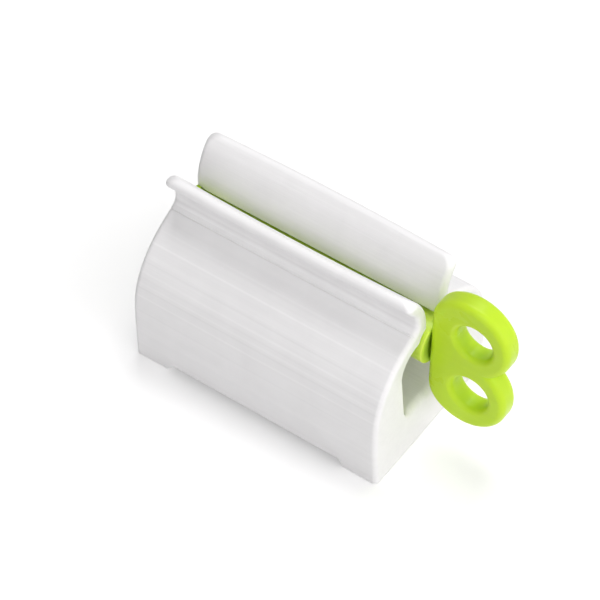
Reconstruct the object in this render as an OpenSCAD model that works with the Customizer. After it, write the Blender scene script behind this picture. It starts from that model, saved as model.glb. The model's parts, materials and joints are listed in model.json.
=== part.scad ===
// Toothpaste tube winder: a white stand with two curved cheeks and a green winding key.
// Millimetres, Z up, X along the shaft towards the key, Y from the front to the back.
// The origin is on the table, under the middle of the whole object.

/* [Stand] */
// Length of the stand at its foot
stand_len = 85; // [80:1:95]
// Inward lean of each end face, in degrees from upright
end_draft = 0.5; // [0.4:0.05:0.7]
// Height of the stand's rim over the table, which is how far the pads stand out
rim_z = 0.4; // [0.3:0.1:0.8]
// Half the depth of the stand at its foot
foot_half = 27.6; // [27:0.1:28]
// Half the depth of the stand at its belly
belly_half = 28.3; // [28.1:0.1:28.8]
// Height where the belly starts to curve in
belly_z = 21.5; // [21:0.1:22]
// Radius of the cheek's big outer curve
cheek_r = 26.7; // [26.4:0.1:27]
// Slope of the flat part between the curve and the neck, in degrees from level
shoulder_slope = 28; // [27:0.5:30]
// Wall thickness of the hollow under the cheeks
wall_t = 2.4; // [2:0.1:2.8]

/* [Neck and lips] */
// Half the width of the slot that the tube's tail goes through
slot_half = 2.9; // [2.6:0.1:3.1]
// Height where the neck is thinnest
neck_z = 50.3; // [50:0.1:50.6]
// Distance from the middle plane to the outside of the neck
neck_half = 7.6; // [7.4:0.1:7.9]
// Radius of the hollow outside the neck, above its thinnest place
neck_r = 9.4; // [9:0.1:9.8]
// Radius of the tighter hollow between the neck and the shoulder
neck_low_r = 3.2; // [2.8:0.1:3.6]
// Outward lean of the lip's outer face, in degrees from upright
lip_flare = 36; // [34:0.5:38]
// Outward lean of the lip's curved inner face at its top, in degrees from upright
mouth_flare = 45; // [44.5:0.5:48]
// Radius of the lip's rounded top edge
lip_edge_r = 1.9; // [1.8:0.1:2]
// Height of the top of the lips
lip_top_z = 61.9; // [61.7:0.1:62.3]
// Radius of the lip's corners, seen from the front
lip_corner_r = 4.2; // [3.6:0.2:5]

/* [Roll chamber] */
// Height of the chamber's floor
floor_z = 16; // [15.5:0.5:17]
// Half the width of the chamber where it is widest
chamber_half = 15.3; // [15:0.1:15.5]
// Height where the chamber is widest
chamber_wide_z = 35; // [34.6:0.1:35.2]
// Half the width of the chamber just over the floor's corners
chamber_low_half = 13.9; // [13.4:0.1:14.2]
// Radius of the chamber's upper corners
chamber_top_r = 7.4; // [7.2:0.1:7.6]
// Radius of the floor's corners
floor_corner_r = 3.2; // [2.5:0.1:3.5]
// Distance from the left end of the foot to the inside of the end wall
end_wall_x = 8; // [7.5:0.1:9]

/* [Shaft] */
// Height of the shaft's axis
axis_z = 37.6; // [37.5:0.1:37.8]
// Radius of the split shaft
shaft_r = 7.2; // [7:0.1:7.3]
// Distance from the left end of the foot to the shaft's right face
shaft_face_x = 85.2; // [85.2:0.1:85.5]
// Gap between the shaft and the seat under the neck
seat_gap = 2; // [1.8:0.1:2.1]
// Radial clearance of the shaft in the end wall's bore
bore_gap = 0.05; // [0.02:0.01:0.1]
// Half the width of the bore's opening into the slot above it
bore_open_half = 5; // [4.6:0.1:5.4]
// Width of the slit that grips the tube's tail
slit_w = 2.2; // [1.8:0.1:2.6]
// Distance from the left end of the foot to the start of the slit
slit_x = 11.5; // [11:0.5:13]
// Length of the slit
slit_len = 65; // [60:1:65]

/* [Key] */
// Thickness of the key's plate
key_t = 7; // [6:0.5:7.5]
// Outer radius of each ring
ring_r = 13.5; // [13:0.1:14]
// Height of each ring's centre over or under the shaft's axis
ring_rise = 10.6; // [10:0.1:11.4]
// Distance from the left end of the foot to the rings' centres
ring_x = 97.3; // [97:0.1:98]
// Radius of each finger hole
hole_r = 6; // [5.5:0.1:6.4]
// How far each hole sits outward from its ring's centre
hole_shift = 1.9; // [1.4:0.1:1.9]
// Turn of the winder from upright, in degrees, with the key's top towards the back
winder_turn = 2; // [0:0.5:3]

/* [Feet] */
// Radius of each rubber pad
pad_r = 4.5; // [4:0.1:4.6]
// Depth of the recess that holds a pad
pad_seat = 1.2; // [1:0.1:1.6]
// Length of each corner foot along the front edge
foot_len = 11.5; // [11:0.5:13]
// Height of the raised edge between the corner feet
notch_h = 2.8; // [2:0.1:3.2]

/* [Hidden] */
$fn = 96;

body_colour = [0.93, 0.93, 0.95];
green_colour = [0.66, 0.82, 0.2];
pad_colour = [0.8, 0.8, 0.8];

lean = tan(end_draft);
overall_len = ring_x + ring_r;
seat_r = shaft_r + seat_gap;
bore_r = shaft_r + bore_gap;

// Outside of the cheek: centre of its big curve, and the angle where that curve ends
cheek_c = [belly_half - cheek_r, belly_z];
cheek_end_deg = 90 - shoulder_slope;

// Hollow outside the neck: the centres of its two curves, and where the shoulder and the lip meet them
neck_c = [neck_half + neck_r, neck_z];
neck_low_c = [neck_half + neck_low_r, neck_z];
crease_deg = 180 + 51;
neck_end_deg = 180 - lip_flare;
neck_end = neck_c + neck_r * [cos(neck_end_deg), sin(neck_end_deg)];

// Rounded top of the lip: its centre lies one edge radius inside the lip's outer face
lip_c_z = lip_top_z - lip_edge_r;
lip_rise = lip_c_z - neck_end[1] - lip_edge_r * sin(lip_flare);
lip_c = [neck_end[0] + lip_rise * tan(lip_flare) - lip_edge_r * cos(lip_flare), lip_c_z];

// Inner face of the lip: a curve that starts upright at the slot and meets the rounded top edge
mouth_top = lip_c + lip_edge_r * [-cos(mouth_flare), sin(mouth_flare)];
mouth_r = (mouth_top[0] - slot_half) / (1 - cos(mouth_flare));
mouth_c = [slot_half + mouth_r, mouth_top[1] - mouth_r * sin(mouth_flare)];

// The slot ends where the neck meets the round seat over the shaft
slot_foot_z = axis_z + sqrt(seat_r * seat_r - slot_half * slot_half);

// Left end: the recess that the end cap turns in, and the spigot that holds the cap
recess_x = 2.9;
cap_r = seat_r - 0.4;
cap_in_x = recess_x - 0.35;
cap_out_x = 0.9;
spigot_r = 3.2;
spigot_x = 1.3;

// Right end: the key's tang and its socket in the shaft
tang_len = 7;
tang_t = 4;
tang_h = 9;

// Corner feet: a plate across each corner holds the pad
foot_plate_h = 3;
foot_plate_w = 12;
pad_inset = 6.6;
notch_run = 2;

// Points of an arc about a centre, from one angle to another
function arc(c, r, from, to, steps) =
    [for (i = [0 : steps]) c + r * [cos(from + (to - from) * i / steps), sin(from + (to - from) * i / steps)]];

// Points mirrored across the middle plane, in the reverse order
function mirrored(points) = [for (i = [len(points) - 1 : -1 : 0]) [-points[i][0], points[i][1]]];

// One cheek's outline from the foot up over the lip and down the throat
cheek_outline = concat(
    [[foot_half, rim_z], [belly_half - 0.1, 12]],
    arc(cheek_c, cheek_r, 0, cheek_end_deg, 20),
    arc(neck_low_c, neck_low_r, crease_deg, 180, 6),
    arc(neck_c, neck_r, 177, neck_end_deg, 8),
    arc(lip_c, lip_edge_r, -lip_flare, 180 - mouth_flare, 14),
    arc(mouth_c, mouth_r, 180 - mouth_flare + 3, 180, 14),
    [[slot_half, slot_foot_z]]);

// Puts a shape drawn from the left end of the foot into the object's own frame
module placed() {
    translate([-overall_len / 2, 0, 0])
        children();
}

// Draws a cross-section, seen from the right end, and runs it from one x to another
module run_x(from, to) {
    translate([from, 0, 0])
        rotate([90, 0, 90])
            linear_extrude(to - from)
                children();
}

// Turns its children about the shaft's axis, from upright to the rest position
module wound() {
    translate([0, 0, axis_z])
        rotate([-winder_turn, 0, 0])
            translate([0, 0, -axis_z])
                children();
}

// A round bar along X on the shaft's axis
module bar_x(r, from, to) {
    run_x(from, to)
        translate([0, axis_z])
            circle(r);
}

// The stand's outline seen from the front: leaning ends and rounded lip corners
module front_limits() {
    corner_z = lip_top_z - lip_corner_r;
    corner_in = lean * corner_z + lip_corner_r;
    rotate([90, 0, 0])
        linear_extrude(4 * belly_half, center = true)
            polygon(concat(
                [[0, 0], [stand_len, 0]],
                arc([stand_len - corner_in, corner_z], lip_corner_r, end_draft, 90, 10),
                arc([corner_in, corner_z], lip_corner_r, 90, 180 - end_draft, 10)));
}

// Cross-section of the chamber that the tube rolls up in
module chamber_section() {
    floor_in = chamber_low_half - floor_corner_r;
    translate([0, axis_z])
        circle(seat_r);
    polygon([[-chamber_low_half, floor_z + floor_corner_r], [chamber_low_half, floor_z + floor_corner_r],
             [chamber_half, chamber_wide_z], [-chamber_half, chamber_wide_z]]);
    translate([-floor_in, floor_z])
        square([2 * floor_in, 2 * floor_corner_r]);
    translate([chamber_top_r - chamber_half, chamber_wide_z - 1])
        square([2 * (chamber_half - chamber_top_r), chamber_top_r + 1]);
    for (side = [-1, 1]) {
        translate([side * floor_in, floor_z + floor_corner_r])
            circle(floor_corner_r);
        translate([side * (chamber_half - chamber_top_r), chamber_wide_z])
            circle(chamber_top_r);
    }
}

// Cross-section of the end wall's bearing: a bore for the shaft, open at the top to the slot
module bearing_section() {
    translate([0, axis_z]) {
        circle(bore_r);
        intersection() {
            circle(seat_r);
            translate([-bore_open_half, 0])
                square([2 * bore_open_half, seat_r]);
        }
    }
}

// Cross-section of the hollow that is open at the foot, beside and under the chamber
module underside_section() {
    pocket_in = chamber_half + wall_t;
    pocket_r = cheek_r - wall_t;
    pocket_top = arc(cheek_c, pocket_r, 0, acos((pocket_in - cheek_c[0]) / pocket_r) - 4, 10);
    pocket_end = pocket_top[len(pocket_top) - 1];
    half = concat(
        [[foot_half - wall_t, -1], [belly_half - wall_t, 12]],
        pocket_top,
        [[pocket_in, pocket_end[1] - 2], [pocket_in, chamber_wide_z],
         [chamber_low_half + wall_t, floor_z], [chamber_low_half - 1, floor_z - wall_t]]);
    polygon(concat(half, mirrored(half)));
}

// The raised edge between the corner feet, cut through the front and back skirts
module edge_notches() {
    for (side = [-1, 1])
        translate([0, side * (foot_half - wall_t / 2), 0])
            rotate([90, 0, 0])
                linear_extrude(2 * wall_t + 1, center = true)
                    polygon([[foot_len, -1], [stand_len - foot_len, -1],
                             [stand_len - foot_len, rim_z], [stand_len - foot_len - notch_run, rim_z + notch_h],
                             [foot_len + notch_run, rim_z + notch_h], [foot_len, rim_z]]);
}

// Runs its children at the four corners, on the pads' centres
module at_corners() {
    for (x = [pad_inset, stand_len - pad_inset], y = [-1, 1])
        translate([x, y * (foot_half - pad_inset), 0])
            children();
}

// The white stand: cheeks, lips, chamber, end wall with its bearing, and the corner feet
module body_shell() {
    color(body_colour)
        placed()
            difference() {
                union() {
                    difference() {
                        intersection() {
                            run_x(0, stand_len)
                                polygon(concat(cheek_outline, mirrored(cheek_outline)));
                            front_limits();
                        }
                        run_x(end_wall_x, stand_len + 1)
                            chamber_section();
                        run_x(wall_t + 1, stand_len - wall_t - 1)
                            underside_section();
                    }
                    intersection() {
                        at_corners()
                            translate([-foot_plate_w / 2, -foot_plate_w / 2, rim_z])
                                cube([foot_plate_w, foot_plate_w, foot_plate_h]);
                        translate([1, 1 - foot_half, 0])
                            cube([stand_len - 2, 2 * foot_half - 2, 10]);
                    }
                }
                edge_notches();
                run_x(-1, end_wall_x + 1)
                    bearing_section();
                bar_x(seat_r, -1, recess_x);
                at_corners()
                    translate([0, 0, rim_z - 1])
                        cylinder(r = pad_r, h = pad_seat + 1);
            }
}

// The green shaft: a spigot at the left, a slit for the tube's tail and a socket at the right
module split_shaft() {
    color(green_colour)
        placed()
            wound()
                difference() {
                    union() {
                        bar_x(shaft_r, cap_in_x, shaft_face_x);
                        bar_x(spigot_r, spigot_x, cap_in_x + 1);
                    }
                    translate([slit_x + slit_w / 2, -slit_w / 2, axis_z - shaft_r - 1])
                        cube([slit_len - slit_w, slit_w, 2 * shaft_r + 2]);
                    for (x = [slit_x + slit_w / 2, slit_x + slit_len - slit_w / 2])
                        translate([x, 0, axis_z - shaft_r - 1])
                            cylinder(r = slit_w / 2, h = 2 * shaft_r + 2);
                    translate([shaft_face_x - tang_len, -tang_t / 2, axis_z - tang_h / 2])
                        cube([tang_len + 1, tang_t, tang_h]);
                }
}

// The key seen from the front: two rings one over the other, with one flat side on the shaft's face
module key_outline() {
    key_h = 2 * (ring_rise + ring_r);
    intersection() {
        difference() {
            union() {
                for (side = [-1, 1])
                    translate([ring_x, axis_z + side * ring_rise])
                        circle(ring_r);
                translate([shaft_face_x, axis_z - ring_rise / 2])
                    square([ring_x - shaft_face_x, ring_rise]);
            }
            for (side = [-1, 1])
                translate([ring_x + hole_shift, axis_z + side * ring_rise])
                    circle(hole_r);
        }
        translate([shaft_face_x, axis_z - key_h / 2])
            square([2 * ring_r, key_h]);
    }
}

// The green key: its plate, and the tang that fits the shaft's socket
module winding_key() {
    color(green_colour)
        placed()
            wound()
                union() {
                    rotate([90, 0, 0])
                        linear_extrude(key_t, center = true)
                            key_outline();
                    translate([shaft_face_x - tang_len, -tang_t / 2, axis_z - tang_h / 2])
                        cube([tang_len + 1, tang_t, tang_h]);
                }
}

// The green cap pressed on the shaft's spigot, which keeps the shaft in the stand
module end_cap() {
    color(green_colour)
        placed()
            wound()
                difference() {
                    bar_x(cap_r, cap_out_x, cap_in_x);
                    bar_x(spigot_r, cap_out_x - 1, cap_in_x + 1);
                }
}

// One rubber pad: x_end is 0 at the left and 1 at the right, side is -1 in front and 1 behind
module foot_pad(x_end, side) {
    color(pad_colour)
        placed()
            translate([pad_inset + x_end * (stand_len - 2 * pad_inset), side * (foot_half - pad_inset), 0])
                cylinder(r = pad_r, h = rim_z + pad_seat);
}

body_shell();
split_shaft();
winding_key();
end_cap();
foot_pad(0, -1);  // front_left_pad
foot_pad(1, -1);  // front_right_pad
foot_pad(0, 1);  // rear_left_pad
foot_pad(1, 1);  // rear_right_pad
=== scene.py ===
"""Looks of the toothpaste tube winder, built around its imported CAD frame.

Every size is in millimetres, and each mesh is scaled to metres when it is made. X runs along the shaft
towards the key, Y from the front to the back and Z up. A cross-section of the stand is drawn as
(distance from the middle plane, height), and a place along the stand is counted from its left end.
"""

import json
import logging
import math
from dataclasses import dataclass, field
from enum import Enum
from typing import Callable, Iterable, Optional, Sequence

import bmesh
import bpy
from mathutils import Matrix, Vector

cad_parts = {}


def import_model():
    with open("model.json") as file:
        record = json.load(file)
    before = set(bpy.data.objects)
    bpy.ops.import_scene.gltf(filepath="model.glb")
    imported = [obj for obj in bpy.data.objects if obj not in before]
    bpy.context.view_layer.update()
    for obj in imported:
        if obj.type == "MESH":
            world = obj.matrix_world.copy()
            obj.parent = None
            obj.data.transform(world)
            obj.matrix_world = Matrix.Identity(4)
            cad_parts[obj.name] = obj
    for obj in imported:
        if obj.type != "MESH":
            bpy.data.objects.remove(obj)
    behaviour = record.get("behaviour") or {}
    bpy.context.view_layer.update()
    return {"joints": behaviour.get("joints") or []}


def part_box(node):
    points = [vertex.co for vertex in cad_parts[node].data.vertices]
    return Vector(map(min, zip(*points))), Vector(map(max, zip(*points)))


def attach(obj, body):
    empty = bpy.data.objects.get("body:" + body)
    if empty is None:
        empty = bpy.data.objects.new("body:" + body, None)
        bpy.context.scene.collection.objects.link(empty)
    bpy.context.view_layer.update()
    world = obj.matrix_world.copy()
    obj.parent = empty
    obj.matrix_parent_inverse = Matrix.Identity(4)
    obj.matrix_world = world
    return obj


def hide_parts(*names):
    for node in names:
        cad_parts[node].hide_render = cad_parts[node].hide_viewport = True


log = logging.getLogger("winder")

MM = 0.001

# Distances in millimetres under which two places count as one
SAME_SPOT = 1e-4
SAME_CORNER = 1e-5
SAME_PLACE = 1e-6
NEAR = 0.01

# Edges that bend more than this stay sharp
SHARP_DEG = 40.0

Point = tuple[float, float]
Spot = tuple[float, float, float]
Colour = tuple[float, float, float]
Vert = bmesh.types.BMVert
Row = Sequence[Vert]
Socket = bpy.types.NodeSocket


class Body(Enum):
    """The two CAD bodies that the pieces ride on."""

    STAND = "stand"
    WINDER = "winder"


class Slot(Enum):
    """The record's material slots."""

    WHITE = "body_white"
    SHAFT = "shaft_green"
    KEY = "key_green"
    CAP = "cap_green"
    PAD = "pad_rubber"


# Outlines


def on_circle(centre: Point, radius: float, turn: float) -> Point:
    """The point of a circle at an angle in degrees."""
    a = math.radians(turn)
    return (centre[0] + radius * math.cos(a), centre[1] + radius * math.sin(a))


def arc(centre: Point, radius: float, start: float, end: float, steps: int) -> list[Point]:
    """Points of a circular arc.

    Args:
        centre: Centre of the arc.
        radius: Radius of the arc.
        start: Angle of the first point, in degrees.
        end: Angle of the last point, in degrees.
        steps: Number of chords.

    Returns:
        One more point than there are chords.
    """
    return [on_circle(centre, radius, start + (end - start) * i / steps) for i in range(steps + 1)]


def spaced(points: Sequence[Point], count: int) -> list[Point]:
    """Puts a number of evenly spaced points on a line of points.

    Args:
        points: The line, with points close together where it bends.
        count: Number of points wanted, both ends included.

    Returns:
        The evenly spaced points.
    """
    walked = [0.0]
    for a, b in zip(points, points[1:]):
        walked.append(walked[-1] + math.dist(a, b))
    result = []
    piece = 0
    for i in range(count):
        goal = walked[-1] * i / (count - 1)
        while piece < len(points) - 2 and walked[piece + 1] < goal:
            piece += 1
        length = walked[piece + 1] - walked[piece]
        t = (goal - walked[piece]) / length if length else 0.0
        a, b = points[piece], points[piece + 1]
        result.append((a[0] + (b[0] - a[0]) * t, a[1] + (b[1] - a[1]) * t))
    return result


def chained(parts: Iterable[Sequence[Point]]) -> list[Point]:
    """Joins lines end to end, with each shared point kept once.

    Args:
        parts: Lines, each of which starts where the one before it ends.

    Returns:
        One line.
    """
    result: list[Point] = []
    for part in parts:
        result.extend(part if not result else part[1:])
    return result


def normals_left(points: Sequence[Point]) -> list[Point]:
    """Unit directions square to a line, on the left of someone who walks along it.

    Args:
        points: The line.

    Returns:
        One direction for each point.
    """
    result = []
    for i in range(len(points)):
        a, b = points[max(i - 1, 0)], points[min(i + 1, len(points) - 1)]
        run, rise = b[0] - a[0], b[1] - a[1]
        length = math.hypot(run, rise) or 1.0
        result.append((-rise / length, run / length))
    return result


def smooth(t: float) -> float:
    """Eases 0 to 1, flat at both ends."""
    t = min(max(t, 0.0), 1.0)
    return t * t * (3 - 2 * t)


def mixed(a: Point, b: Point, t: float) -> Point:
    """The point a share t of the way from a to b."""
    return (a[0] + (b[0] - a[0]) * t, a[1] + (b[1] - a[1]) * t)


# Meshes


class Shell:
    """A mesh under construction, in millimetres in the row frame."""

    def __init__(self) -> None:
        """Starts an empty mesh."""
        self.bm = bmesh.new()

    def row(self, spots: Iterable[Spot]) -> list[Vert]:
        """Adds a row of points."""
        return [self.bm.verts.new(s) for s in spots]

    def face(self, corners: Row) -> None:
        """Adds a face, and leaves out corners that coincide.

        Args:
            corners: The face's corners in order.
        """
        kept: list[Vert] = []
        for vertex in corners:
            if all((vertex.co - other.co).length > SAME_CORNER for other in kept):
                kept.append(vertex)
        if len(kept) > 2 and self.bm.faces.get(kept) is None:
            self.bm.faces.new(kept)

    def sheet(self, rows: Sequence[Row], closed: bool = False) -> None:
        """Spans four-sided faces between rows of points.

        Args:
            rows: Rows with the same number of points.
            closed: Whether each row joins up with its own start.
        """
        for a, b in zip(rows, rows[1:]):
            last = len(a) if closed else len(a) - 1
            for i in range(last):
                j = (i + 1) % len(a)
                self.face((a[i], a[j], b[j], b[i]))

    def box(self, low: Spot, high: Spot, rounding: float) -> None:
        """Adds a block with rounded edges.

        Args:
            low: Lowest corner.
            high: Highest corner.
            rounding: Radius of its edges.
        """
        made = bmesh.ops.create_cube(self.bm, size=1.0)["verts"]
        for vertex in made:
            vertex.co = Vector([(l + h) / 2 + v * (h - l) for l, h, v in zip(low, high, vertex.co)])
        edges = list({e for v in made for e in v.link_edges})
        bmesh.ops.bevel(self.bm, geom=edges, offset=rounding, segments=3, profile=0.5, affect="EDGES")

    def turned(self, profile: Sequence[Point], centre: Spot, along_z: bool, steps: int = 96) -> None:
        """Adds a turned solid.

        Args:
            profile: (place along the axis, radius) from one end to the other.
            centre: A point on the axis, from which places are counted.
            along_z: Whether the axis is Z, and not X.
            steps: Number of sides.
        """
        rows = []
        for place, radius in profile:
            ring = []
            for i in range(steps):
                a = 2 * math.pi * i / steps
                c, s = radius * math.cos(a), radius * math.sin(a)
                ring.append((c, s, place) if along_z else (place, c, s))
            rows.append(self.row([tuple(p + o for p, o in zip(spot, centre)) for spot in ring]))
        self.sheet(rows, closed=True)

    def wind(self, turn: float, axis_z: float) -> None:
        """Turns the mesh about the shaft's axis.

        Args:
            turn: Angle in degrees, with the top towards the back.
            axis_z: Height of the axis.
        """
        turned = Matrix.Rotation(math.radians(-turn), 3, "X")
        bmesh.ops.rotate(self.bm, cent=(0.0, 0.0, axis_z), matrix=turned, verts=self.bm.verts)

    def piece(self, name: str, sharp_deg: float = SHARP_DEG) -> bpy.types.Object:
        """Ends the mesh and makes its object.

        Args:
            name: The object's name.
            sharp_deg: Edges that bend more than this stay sharp.

        Returns:
            The object, in metres, with shading that keeps flat faces flat.
        """
        bmesh.ops.remove_doubles(self.bm, verts=self.bm.verts, dist=SAME_SPOT)
        bmesh.ops.recalc_face_normals(self.bm, faces=self.bm.faces)
        bmesh.ops.scale(self.bm, vec=(MM, MM, MM), verts=self.bm.verts)
        mesh = bpy.data.meshes.new(name)
        self.bm.to_mesh(mesh)
        self.bm.free()
        piece = bpy.data.objects.new(name, mesh)
        bpy.context.scene.collection.objects.link(piece)
        shade(piece, sharp_deg)
        return piece


def settle(piece: bpy.types.Object) -> None:
    """Turns an object's modifiers into plain mesh.

    Args:
        piece: The object, which keeps its place and its materials.
    """
    graph = bpy.context.evaluated_depsgraph_get()
    mesh = bpy.data.meshes.new_from_object(piece.evaluated_get(graph), depsgraph=graph)
    piece.modifiers.clear()
    piece.data = mesh
    mesh.name = piece.name


def shade(piece: bpy.types.Object, sharp_deg: float) -> None:
    """Shades a piece smoothly, with its sharp edges and its flat faces kept.

    Args:
        piece: A mesh object.
        sharp_deg: Edges that bend more than this stay sharp.
    """
    piece.data.shade_smooth()
    piece.data.set_sharp_from_angle(angle=math.radians(sharp_deg))
    weighted = piece.modifiers.new("flat_faces", "WEIGHTED_NORMAL")
    weighted.keep_sharp = True
    weighted.weight = 90
    settle(piece)


def carve(piece: bpy.types.Object, cutters: Sequence[bpy.types.Object]) -> None:
    """Cuts solids out of a piece.

    Args:
        piece: The mesh object to cut.
        cutters: Closed solids, which are removed afterwards.
    """
    for cutter in cutters:
        cut = piece.modifiers.new("cut", "BOOLEAN")
        cut.object = cutter
        cut.operation = "DIFFERENCE"
        cut.solver = "EXACT"
        settle(piece)
        bpy.data.objects.remove(cutter)
    shade(piece, SHARP_DEG)


def place(piece: bpy.types.Object, body: Body, slot: Slot, nodes: Sequence[str],
          material: bpy.types.Material) -> None:
    """Gives a piece its finish, its body and the CAD nodes that it stands for.

    Args:
        piece: The finished mesh object.
        body: The CAD body that it rides on.
        slot: The record's material slot, which is not used.
        nodes: CAD nodes that aren't shown because of this piece.
        material: Its material.
    """
    piece.data.materials.clear()
    piece.data.materials.append(material)
    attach(piece, body.value)
    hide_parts(*nodes)
    log.info("%s: %d faces, rides on %s", piece.name, len(piece.data.polygons), body.value)


# Finishes


class Wiring:
    """Adds and joins the nodes of one tree."""

    def __init__(self, tree: bpy.types.NodeTree) -> None:
        """Works on an empty node tree."""
        self.tree = tree
        tree.nodes.clear()

    def add(self, kind: str, inputs: Optional[dict] = None, **settings: object) -> bpy.types.Node:
        """Adds a node.

        Args:
            kind: The node's Blender type.
            inputs: Value or source for each input socket, by name or number.
            settings: The node's own properties.

        Returns:
            The node.
        """
        node = self.tree.nodes.new(kind)
        for name, value in settings.items():
            setattr(node, name, value)
        for key, value in (inputs or {}).items():
            if isinstance(value, Socket):
                self.tree.links.new(value, node.inputs[key])
            else:
                node.inputs[key].default_value = value
        return node

    def math(self, operation: str, a: object, b: object = 0.0, clamp: bool = False) -> Socket:
        """Adds a Math node and returns its result."""
        return self.add("ShaderNodeMath", {0: a, 1: b}, operation=operation, use_clamp=clamp).outputs[0]

    def noise(self, where: Socket, scale: object, detail: float, roughness: float = 0.5,
              distortion: float = 0.0) -> Socket:
        """Adds a Noise Texture node and returns its value.

        Args:
            where: Socket of the place in the object.
            scale: Number or socket of the scale.
            detail: Number of octaves.
            roughness: Share that each finer octave keeps.
            distortion: How far the pattern is warped.

        Returns:
            The noise value's socket.
        """
        inputs = {"Vector": where, "Scale": scale, "Detail": detail, "Roughness": roughness,
                  "Distortion": distortion}
        return self.add("ShaderNodeTexNoise", inputs).outputs["Fac"]

    def remap(self, value: object, low: float, high: float, to_low: float, to_high: float) -> Socket:
        """Maps a value from one range to another, with both ends clamped."""
        inputs = {"Value": value, "From Min": low, "From Max": high, "To Min": to_low, "To Max": to_high}
        return self.add("ShaderNodeMapRange", inputs).outputs["Result"]


def group(name: str, inputs: dict[str, float], outputs: Sequence[str],
          fill: Callable[[Wiring, bpy.types.Node], dict[str, Socket]]) -> bpy.types.NodeTree:
    """Builds a shader node group with a Vector input and plain number sockets.

    Args:
        name: The group's name.
        inputs: Its number inputs and their usual values.
        outputs: Names of its number outputs.
        fill: Adds the nodes inside and returns the source of each output.

    Returns:
        The group.
    """
    tree = bpy.data.node_groups.new(name, "ShaderNodeTree")
    wiring = Wiring(tree)
    tree.interface.new_socket("Vector", in_out="INPUT", socket_type="NodeSocketVector")
    for socket_name, value in inputs.items():
        socket = tree.interface.new_socket(socket_name, in_out="INPUT", socket_type="NodeSocketFloat")
        socket.default_value = value
    for socket_name in outputs:
        tree.interface.new_socket(socket_name, in_out="OUTPUT", socket_type="NodeSocketFloat")
    sources = fill(wiring, wiring.add("NodeGroupInput"))
    wiring.add("NodeGroupOutput", sources)
    return tree


@dataclass(frozen=True)
class PaintedLightLine:
    """A fine line of painted light along both cheeks: a painted highlight, lighter than its surroundings
    (above 0), or painted shade, duller (below 0).
    """

    spot: Point
    half_width: float
    strength: float


@dataclass
class SurfaceEffects:
    """The node groups that the plastics and the rubber share."""

    # Lines of painted highlight and painted shade along the cheeks and in the creases
    tone_lines: Sequence[PaintedLightLine]
    trees: dict[str, bpy.types.NodeTree] = field(default_factory=dict)

    def build(self) -> None:
        """Builds the four groups once."""
        # Painted highlights and painted shade in the white's colour, along its cheeks and creases
        self.trees["painted_light_lines"] = group("painted_light_lines", {}, ["Tone"], self.marks)
        self.trees["moulded_grain"] = group(
            "moulded_grain", {"Grain Size": 0.3, "Depth": 1.0}, ["Height"], self.grain)
        self.trees["tone_lines"] = group(
            "tone_lines", {"Pitch": 1.8, "Depth": 1.0}, ["Height", "Tone"], self.lines)
        self.trees["handled_surface"] = group(
            "handled_surface", {"Roughness": 0.3, "Spread": 0.1}, ["Roughness", "Smudge"], self.handling)

    @staticmethod
    def grain(wiring: Wiring, source: bpy.types.Node) -> dict[str, Socket]:
        """Fine pitting that a mould leaves: small noise over a wider, softer one.

        Args:
            wiring: Wiring of the group.
            source: The group's input node.

        Returns:
            The output Height.
        """
        scale = wiring.math("DIVIDE", 1 / MM, source.outputs["Grain Size"])
        fine = wiring.noise(source.outputs["Vector"], scale, 3.0, 0.6)
        wide = wiring.noise(source.outputs["Vector"], wiring.math("DIVIDE", scale, 6.0), 2.0)
        both = wiring.math("ADD", fine, wiring.math("MULTIPLY", wide, 1.5))
        return {"Height": wiring.math("MULTIPLY", both, source.outputs["Depth"])}

    @staticmethod
    def lines(wiring: Wiring, source: bpy.types.Node) -> dict[str, Socket]:
        """Faint straight lines along the length, of uneven width and strength.

        Args:
            wiring: Wiring of the group.
            source: The group's input node.

        Returns:
            The outputs Height and Tone.
        """
        along = (0.012, 1.0, 1.0)
        drawn = wiring.add("ShaderNodeMapping", {"Vector": source.outputs["Vector"], "Scale": along})
        scale = wiring.math("DIVIDE", 1 / MM, source.outputs["Pitch"])
        bands = wiring.noise(drawn.outputs["Vector"], scale, 4.0, 0.72)
        height = wiring.math("MULTIPLY", bands, source.outputs["Depth"])
        return {"Height": height, "Tone": wiring.remap(bands, 0.3, 0.7, 0.0, 1.0)}

    def marks(self, wiring: Wiring, source: bpy.types.Node) -> dict[str, Socket]:
        """The painted highlight and painted shade lines at their own places, found by the distance from each
        in the cross-section.

        Args:
            wiring: Wiring of the group.
            source: The group's input node.

        Returns:
            The output Tone, the sum of the lines' strengths at a place.
        """
        axes = wiring.add("ShaderNodeSeparateXYZ", {"Vector": source.outputs["Vector"]})
        flat = wiring.add("ShaderNodeCombineXYZ", {"Y": wiring.math("ABSOLUTE", axes.outputs["Y"]),
                                                   "Z": axes.outputs["Z"]})
        total: object = 0.0
        for line in self.tone_lines:
            spot = (0.0, line.spot[0] * MM, line.spot[1] * MM)
            away = wiring.add("ShaderNodeVectorMath", {0: flat.outputs[0], 1: spot}, operation="DISTANCE")
            share = wiring.remap(away.outputs["Value"], 0.0, line.half_width * MM, line.strength, 0.0)
            total = wiring.math("ADD", share, total)
        return {"Tone": total}

    @staticmethod
    def handling(wiring: Wiring, source: bpy.types.Node) -> dict[str, Socket]:
        """Patches that are a little duller or shinier, where fingers and cloths have been.

        Args:
            wiring: Wiring of the group.
            source: The group's input node.

        Returns:
            The outputs Roughness and Smudge.
        """
        patches = wiring.noise(source.outputs["Vector"], 90.0, 5.0, 0.55, 0.4)
        smudge = wiring.remap(patches, 0.35, 0.68, 0.0, 1.0)
        offset = wiring.math("MULTIPLY", wiring.math("SUBTRACT", smudge, 0.5), source.outputs["Spread"])
        return {"Roughness": wiring.math("ADD", source.outputs["Roughness"], offset, clamp=True),
                "Smudge": smudge}


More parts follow.
